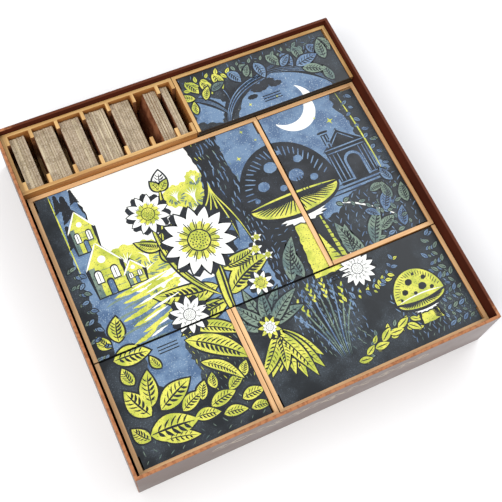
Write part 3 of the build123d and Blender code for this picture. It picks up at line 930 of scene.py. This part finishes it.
def spray(marks, path, spacing, splay, spread, seed):
    """Copy each mark, given as ink, level and outline, along a path, all in millimetres."""
    curve = bpy.data.curves.new("path", "CURVE")
    curve.dimensions = "3D"
    spline = curve.splines.new("NURBS")
    spline.points.add(len(path) - 1)
    for point, (x, y) in zip(spline.points, path):
        point.co = (x * MM, y * MM, 0.0, 1.0)
    spline.order_u = 3
    spline.use_endpoint_u = True
    stem = bpy.data.objects.new("path", curve)
    bpy.context.collection.objects.link(stem)
    for ink, level, outline in marks:
        mark_mesh = bmesh.new()
        add_prism(mark_mesh, outline, -INK_STEP, level * INK_STEP)
        mark = mesh_object("mark", mark_mesh)
        sprays[ink].append(grow(stem, spray_tree, {"Mark": mark, "Spacing": spacing * MM, "Splay": splay,
                                                   "Size": 1.0, "Spread": spread, "Seed": seed}))
        drop(mark)
    drop(stem)


def leaf_marks(length, width, ink, level):
    """Rim, blade and midrib of a small leaf."""
    vein = stroke((0.5, 0), (length * 0.3, 0), (length * 0.6, 0), (length * 0.9, 0), width * 0.16, 6)
    return [
        ("charcoal", level, leaf(-0.8, 0, length + 1.8, width + 1.8, 0)),
        (ink, level + 1, leaf(0, 0, length, width, 0)),
        ("charcoal", level + 2, vein),
    ]


def gouges(ink, level, path, spacing, length, width, splay, seed):
    """Row of tapered gouge marks along a path."""
    mark = stroke((0, 0), (length * 0.3, length * 0.06), (length * 0.6, length * 0.06), (length, 0), width, 6)
    spray([(ink, level, mark)], path, spacing, splay, 0.5, seed)


def drift(path, number):
    """Path whose points, given as x, y and their drift, have moved a number of times."""
    return [(x + dx * number, y + dy * number) for x, y, dx, dy in path]


# Long tray: an arching bough under a row of leaves, with dark cloud over the blue sky.
field("blue", 1, 1.0, 19, [
    (186, 235.5), (272, 235.5), (268, 250), (256, 262), (236, 267), (212, 265), (198, 256),
])
field("blue", 1.5, 1.0, 22, [(153, 244), (172, 237), (182, 254), (168, 268), (156, 262)])
for x, y, across in ((214, 256, 7), (222, 259, 6), (228, 255, 5), (205, 250, 4)):
    etch(2, disc(x, y, across, across * 0.5, steps=32, ripple=0.2, waves=9))
BOUGHS = (
    (10, (176, 232), (182, 250), (196, 266), (230, 266)),
    (6, (222, 267), (250, 267), (264, 256), (276, 236)),
    (5, (182, 240), (174, 258), (166, 262), (154, 268)),
    (4, (186, 250), (188, 266), (182, 274), (176, 284)),
    (3.4, (200, 260), (214, 268), (232, 272), (256, 276)),
    (2.6, (256, 262), (262, 270), (268, 278), (280, 284)),
)
for width, *bough in BOUGHS:
    etch(4, stroke(*bough, width + 2.0, steps=18))
    for side in (-0.26, 0.0, 0.28):
        offset = [(x, y + side * width) for x, y in bough]
        cut("blue", 5, stroke(*offset, width * 0.09, steps=18))
for column in range(11):
    x = 158 + 12.3 * column
    ink = "yellow" if column < 3 else ("sage", "blue")[column % 2]
    veined_leaf(x, 283 - 3 * (column % 2), 15 + column % 3, 8.5, -62 - 9 * (column % 3), ink, 6, 1, veins=5)
BOUGH_LEAVES = (
    (160, 266, 14, 150, "yellow"), (168, 262, 13, 60, "yellow"), (156, 252, 12, 80, "yellow"),
    (176, 268, 13, 20, "sage"), (252, 264, 22, 12, "blue"), (256, 260, 20, -24, "sage"),
    (278, 262, 20, 84, "sage"), (240, 268, 14, 40, "blue"), (276, 240, 16, 100, "sage"),
    (208, 270, 12, 60, "sage"),
)
for x, y, length, angle, ink in BOUGH_LEAVES:
    veined_leaf(x, y, length, length * 0.46, angle, ink, 8, 0.6, veins=5)

# Small leaves in rows, the same row drawn several times in two inks and moved on each time.
spray(leaf_marks(7, 3.6, "yellow", 7), [(154, 276), (176, 286), (198, 278)], 4.5, 1.0, 0.4, 3)
spray(leaf_marks(6, 3.2, "sage", 7), [(200, 284), (232, 278), (262, 286), (285, 270)], 5, 1.0, 0.4, 5)
FERNS = (
    (6, 3.2, "sage", "blue", 3, 5.5, 0.9, 20,
     (279, 232, 1, 0), (274, 206, 0, 1), (285, 180, -1, 0), (280, 152, 0, 0)),
    (7, 3.4, "blue", "sage", 3, 6, 0.9, 30, (236, 98, 9, 0), (252, 114, 6, 0), (262, 134, 5, 0)),
    (6, 3, "sage", "blue", 3, 7, 1.0, 40,
     (16, 168, 1, 0), (12, 150, 3, 0), (15, 122, 0, 0), (11, 94, 2, 0)),
    (8, 3.8, "yellow", "sage", 4, 7, 0.7, 50,
     (186, 14, 4, 3), (206, 18, 0, 4), (230, 28, 0, 0), (236, 20, 0, 5)),
    (7, 3.2, "blue", "sage", 3, 6, 0.8, 60,
     (262, 12, 6, 0), (274, 40, 3, 0), (270, 66, 4, 0), (280, 86, 0, 0)),
    (6, 3, "yellow", "blue", 5, 6, 1.0, 70,
     (196, 66, 7, 0), (216, 58, 0, 3), (238, 66, 0, 0), (246, 78, 0, 0)),
)
for row in range(4):
    for length, width, even_ink, odd_ink, level, spacing, splay, seed, *path in FERNS:
        marks = leaf_marks(length, width, (even_ink, odd_ink)[row % 2], level + row)
        spray(marks, drift(path, row), spacing, splay, 0.5, seed + row)
spray(leaf_marks(13, 6, "yellow", 8), [(184, 15), (205, 20), (222, 28), (240, 26)], 7.5, 0.5, 0.4, 4)
spray(leaf_marks(6, 3, "sage", 9), [(228, 139), (242, 136), (258, 122), (276, 104)], 5.5, 0.7, 0.4, 7)

# Bark on the big trunk, then gouge marks over the dark grounds in the same moving rows.
for number in range(8):
    x = 138 + 3.2 * number
    path = [(x, 234), (x + 2, 214), (x - 3 + number, 196), (132 + 5 * number, 166 - 2 * number)]
    gouges("blue", 7, path, 4.0 + 0.4 * (number % 3), 7.0, 1.15, 0.05, 80 + number)
    gouges("yellow" if number < 2 else "sage", 7, path, 13, 5.5, 0.7, 0.07, 90 + number)
for number in range(12):
    x, rise = 152 + 4.2 * number, 4 * (number % 4)
    gouges("blue", 3, [(x, 90), (x + 4, 64), (x + 2 + number % 4, 34)], 6, 5.5, 0.8, 0.12, 110 + number)
    x = 232 + 4.6 * number
    ink = ("blue", "sage")[number % 2]
    gouges(ink, 2, [(x, 10), (x + 2, 26), (x - 2, 48 + rise)], 3.6, 5.5, 0.9, 0.4, 150 + number)
    x = 74 + 3.3 * number
    ink = "sage" if number % 3 else "yellow"
    gouges(ink, 2, [(x, 92), (x - 3, 66), (x + 5, 40)], 6, 5, 0.6, 0.25, 170 + number)
GOUGED = (
    (8, "blue", 7, 6, 6, 0.9, 0.2, 100, (152, 162, 2, 0), (150, 130, 2, 0), (156, 94, 1.4, 0)),
    (12, "blue", 2, 4, 6, 0.95, 0.5, 130, (204, 96, 7, 0), (207, 116, 7, 0), (213, 138, 7, 0)),
    (12, "blue", 2, 5, 5, 0.7, 0.3, 190, (160, 94, 0, 6), (176, 97, 0, 6), (184, 95, 0, 6)),
    (12, "sage", 2, 4.5, 5, 0.7, 0.5, 210, (12, 9, 9, 0), (15, 16, 9, 0), (13, 26, 9, 0)),
    (12, "blue", 2, 3.2, 4.5, 0.6, 0.6, 230, (154, 288, 11, 0), (158, 276, 11, 0)),
    (5, "sage", 4, 4.4, 5, 0.6, 0.03, 250,
     (160, 88, 8, 0), (165, 62, 6, 0), (162, 40, 8, 0), (169, 28, 8, 0)),
)
for rows, ink, level, spacing, length, width, splay, seed, *path in GOUGED:
    for row in range(rows):
        gouges(ink, level, drift(path, row), spacing, length, width, splay, seed + row)

# Stars over both skies, and specks of white in the blue.
STARS = (
    (184, 227, 2.0), (172, 205, 2.4), (177, 192, 1.6), (257, 209, 3.4), (227, 182, 3.2), (246, 216, 1.5),
    (208, 204, 1.6), (200, 244, 1.8), (224, 243, 1.4), (192, 216, 1.4),
)
for x, y, size in STARS:
    points = [(size * (0.32 if k % 2 else 1.0), 45 * k + 12) for k in range(8)]
    cut("yellow", 4, [turn([(reach, 0)], angle, x, y)[0] for reach, angle in points])
for row in range(13):
    sway = [(162 + 12 * k, 262 - 7 * row + 5 * math.sin(1.9 * k + row)) for k in range(10)]
    spray([("white", 2, disc(0, 0, 0.3, steps=6))], sway, 5.5 + row % 3, 0.4, 0.6, row)


# Inks, and one printed film per lid cut to the part of the lid that shows.
def ink_material(name, color, deep, fleck, cover):
    """Satin ink with cloudy depth and small gaps where it has not taken."""
    material, tree = new_material(name, color, 0.42, 0.32)
    fibre = group_node(tree, fibre_group, Fibre_Scale=1100.0, Cloud_Scale=70.0)
    shade = mix_color(tree, remap(tree, fibre["Cloud"], 0.38, 0.58), deep, color)
    gaps = remap(tree, fibre["Fine"], cover, cover + 0.05, 0.0, 0.85)
    color = mix_color(tree, gaps, shade, fleck)
    dress(tree, color, fibre["Fine"], 0.12, 0.06 * MM, fibre["Cloud"], 0.34, 0.50)
    return material


inks = {
    ink: ink_material(f"ink_{ink}", color, deep, fleck, cover)
    for ink, color, deep, fleck, cover in (
        ("blue", (0.140, 0.225, 0.350), (0.070, 0.128, 0.235), (0.33, 0.42, 0.50), 0.60),
        ("white", (0.86, 0.87, 0.83), (0.80, 0.81, 0.77), (0.55, 0.60, 0.40), 0.68),
        ("yellow", (0.68, 0.67, 0.105), (0.44, 0.49, 0.060), (0.10, 0.12, 0.05), 0.60),
        ("sage", (0.19, 0.26, 0.20), (0.10, 0.16, 0.15), (0.03, 0.04, 0.05), 0.58),
        ("charcoal", (0.010, 0.012, 0.015), (0.015, 0.018, 0.024), (0.05, 0.07, 0.10), 0.64),
    )
}


def shown_window(tray):
    """Low and high corner of the part of a lid that shows between its walls."""
    low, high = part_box(f"{tray}_lid")
    for axis, way in enumerate(OPENS[tray]):
        if way >= 0:
            low[axis] += TONGUE + EDGE_GAP
        if way <= 0:
            high[axis] -= TONGUE + EDGE_GAP
    return low, high


def block(mesh, low, high):
    """Closed box between two corners."""
    place = Matrix.LocRotScale((low + high) / 2, None, [b - a for a, b in zip(low, high)])
    bmesh.ops.create_cube(mesh, size=1.0, matrix=place)


def lid_cutters(tray, low, high, top):
    """The window as one solid, and the notches and grip lines as another."""
    way = Vector((*OPENS[tray], 0))
    along = Vector((abs(way.x), abs(way.y), 0))
    across = Vector((along.y, along.x, 0))
    middle = (low + high) / 2
    middle.z = top
    half = (high - low) / 2
    reach, wide = half.dot(along), half.dot(across)
    window, holes = bmesh.new(), bmesh.new()
    block(window, Vector((low.x, low.y, top - CUT_BELOW)), Vector((high.x, high.y, top + CUT_ABOVE)))
    lift = Vector((0, 0, MM))
    grip = across * GRIP_LENGTH / 2 + along * GRIP_WIDTH / 2 + lift
    for step in (-1, 0, 1):
        spot = middle + way * (reach - GRIP_INSET + step * GRIP_PITCH)
        block(holes, spot - grip, spot + grip)
    notch = across * (NOTCH_WIDTH - EDGE_GAP) + along * NOTCH_LENGTH + lift
    for side in (-1, 1):
        spot = middle - way * reach + across * side * wide
        block(holes, spot - notch, spot + notch)
    return mesh_object("window", window), mesh_object("holes", holes)


def ink_film(ink, low, high, top):
    """Every shape and spray of one ink that reaches the window, as overlapping closed solids."""
    mesh = bmesh.new()
    for level, outline in shapes[ink]:
        xs, ys = [x * MM + cad_low.x for x, y in outline], [y * MM + cad_low.y for x, y in outline]
        if min(xs) < high.x and max(xs) > low.x and min(ys) < high.y and max(ys) > low.y:
            add_prism(mesh, outline, top - INK_STEP, top + level * INK_STEP, (cad_low.x, cad_low.y))
    for copies in sprays[ink]:
        start = len(mesh.verts)
        mesh.from_mesh(copies)
        mesh.verts.ensure_lookup_table()
        bmesh.ops.translate(mesh, verts=mesh.verts[start:], vec=(cad_low.x, cad_low.y, top))
    return mesh


def print_lid(tray):
    """Trim each ink to the window, take out notches and grip lines, and join the inks on the lid."""
    low, high = shown_window(tray)
    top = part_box(f"{tray}_lid")[1].z
    window, holes = lid_cutters(tray, low, high, top)
    film = bmesh.new()
    for slot, ink in enumerate(INKS):
        piece = mesh_object(f"{tray}_{ink}", ink_film(ink, low, high, top))
        for name, operation, cutter in (("window", "INTERSECT", window), ("holes", "DIFFERENCE", holes)):
            trim = piece.modifiers.new(name, "BOOLEAN")
            trim.operation = operation
            trim.object = cutter
            trim.solver = "MANIFOLD"
        start = len(film.faces)
        trimmed = plain_copy(piece)
        film.from_mesh(trimmed)
        bpy.data.meshes.remove(trimmed)
        drop(piece)
        film.faces.ensure_lookup_table()
        for face in film.faces[start:]:
            face.material_index = slot
    drop(window)
    drop(holes)
    picture = mesh_object(f"{tray}_print", film)
    for ink in INKS:
        picture.data.materials.append(inks[ink])
    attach(picture, f"{tray}_lid")


for tray in TRAYS:
    print_lid(tray)


# ---- Chipboard tiles -----------------------------------------------------------------------
# Thick grey-beige chipboard tiles with a printed brown face, standing on edge in their slots.
# They are die-cut, so their edges show the pressed layers and no two stand quite in line.
TINT = "tint"


def chipboard_material():
    """Layered, grimy board edges, each tile in its own tone, and stained brown faces."""
    material, tree = new_material("chipboard_edge", (0.42, 0.35, 0.26), 0.85, 0.2)
    grain = group_node(tree, grain_group, Along=[700.0, 5.0, 20.0])
    fibre = group_node(tree, fibre_group, Fibre_Scale=1100.0, Cloud_Scale=130.0)
    layers = remap(tree, grain["Streaks"], 0.38, 0.62)
    color = mix_color(tree, layers, (0.290, 0.230, 0.140), (0.560, 0.468, 0.312))
    tone = add_node(tree, "ShaderNodeAttribute", attribute_name=TINT).outputs["Fac"]
    color = mix_color(tree, remap(tree, tone, 0.0, 1.0, 0.0, 0.7), color, (0.30, 0.22, 0.155))
    grime = remap(tree, fibre["Cloud"], 0.46, 0.62, 0.0, 0.5)
    color = mix_color(tree, grime, color, (0.20, 0.150, 0.090))
    dust = remap(tree, fibre["Fine"], 0.50, 0.66, 0.0, 0.60)
    color = mix_color(tree, dust, color, (0.60, 0.52, 0.41))
    stain = remap(tree, fibre["Cloud"], 0.35, 0.65)
    face = mix_color(tree, stain, (0.150, 0.044, 0.017), (0.320, 0.130, 0.058))
    color = mix_color(tree, looking_along(tree, 0, 0.8, 0.95), color, face)
    dress(tree, color, grain["Streaks"], 0.4, 0.2 * MM)
    return material


def make_row_tree():
    """Geometry nodes: a row of tiles, each a little out of line, upright or leaning."""
    inputs = [
        ("Geometry", GEOMETRY, None),
        ("Count", INT, 6),
        ("Start", VECTOR, None),
        ("Step", FLOAT, 2.05 * MM),
        ("Slip", FLOAT, 0.3 * MM),
        ("Shrink", FLOAT, 0.01),
        ("Lean", FLOAT, 0.0),
        ("Seed", INT, 1),
        ("Finish", MATERIAL, None),
    ]
    tree, asked, result = new_group("row_of_tiles", inputs, [("Geometry", GEOMETRY)], GEOMETRY_TREE)
    ends = {"Count": asked["Count"], "Start Location": asked["Start"],
            "Offset": vector_of(tree, asked["Step"])}
    feet = add_node(tree, "GeometryNodeMeshLine", ends, mode="OFFSET").outputs[0]
    slip = random_value(tree, calc(tree, "MULTIPLY", asked["Slip"], -1.0), asked["Slip"], asked["Seed"])
    ends = {"Geometry": feet, "Offset": vector_of(tree, y=slip)}
    placed = add_node(tree, "GeometryNodeSetPosition", ends).outputs[0]
    least = calc(tree, "SUBTRACT", 1.0, asked["Shrink"])
    tall = random_value(tree, least, 1.0, calc(tree, "ADD", asked["Seed"], 5.0))
    ends = {"Points": placed, "Instance": asked["Geometry"],
            "Rotation": vector_of(tree, y=asked["Lean"]), "Scale": vector_of(tree, 1.0, 1.0, tall)}
    tiles = add_node(tree, "GeometryNodeInstanceOnPoints", ends).outputs[0]
    ends = {"Geometry": tiles, "Name": TINT}
    tinted = add_node(tree, "GeometryNodeStoreNamedAttribute", ends, domain="INSTANCE", data_type="FLOAT")
    tree.links.new(random_value(tree, 0.0, 1.0, asked["Seed"]), tinted.inputs["Value"])
    realize(tree, tinted.outputs[0], asked["Finish"], result)
    return tree


def tile_mesh(thickness, length, height, corner, chamfer):
    """One upright tile with rounded corners and chamfered edges, its foot on the origin."""
    mesh = bmesh.new()
    rings = []
    for x, inset in ((0, chamfer), (chamfer, 0), (thickness - chamfer, 0), (thickness, chamfer)):
        ring = []
        for quarter, (side, top) in enumerate(((1, 0), (1, 1), (-1, 1), (-1, 0))):
            centre = (side * (length / 2 - corner), corner + top * (height - 2 * corner))
            for step in range(4):
                angle = math.radians(90 * (quarter - 1) + 30 * step)
                spot = around(*centre, corner - inset, corner - inset, angle)
                ring.append(mesh.verts.new((x, *spot)))
        rings.append(ring)
    bridge(mesh, rings)
    return mesh


TILE, TILE_GAP, TILE_LENGTH = 2.0 * MM, 0.05 * MM, 49.3 * MM
TILE_CORNER, TILE_CHAMFER = 1.4 * MM, 0.16 * MM
THINNER, SHORTER, SIDE_GAP = 0.02 * MM, 0.1 * MM, 0.01 * MM
SLIP, SHRINK = 0.32 * MM, 0.012
LEANING, LEAN = "tile_stack_6", math.radians(11.0)
chipboard_edge = chipboard_material()
row_tree = make_row_tree()
for node in sorted(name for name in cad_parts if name.startswith("tile_stack")):
    low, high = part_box(node)
    lean = LEAN if node == LEANING else 0.0
    foot = TILE * math.sin(lean)
    height = (high.z - low.z - foot) / math.cos(lean)
    step = (TILE + TILE_GAP) / math.cos(lean)
    first = TILE * math.cos(lean) + height * math.sin(lean)
    count = 1 + round((high.x - low.x - first) / step)
    tile = tile_mesh(TILE - THINNER, TILE_LENGTH, height - SHORTER, TILE_CORNER, TILE_CHAMFER)
    row = mesh_object("row", tile)
    start = (low.x + SIDE_GAP, (low.y + high.y) / 2, low.z + foot)
    tiles = grow(row, row_tree, {"Count": count, "Start": start, "Step": step, "Slip": SLIP, "Shrink": SHRINK,
                                 "Lean": lean, "Seed": int(node[-1]), "Finish": chipboard_edge})
    drop(row)
    stack = bpy.data.objects.new(f"tiles_{node[-1]}", tiles)
    bpy.context.collection.objects.link(stack)
    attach(stack, node)
    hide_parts(node)
    finish_node(node, chipboard_edge)
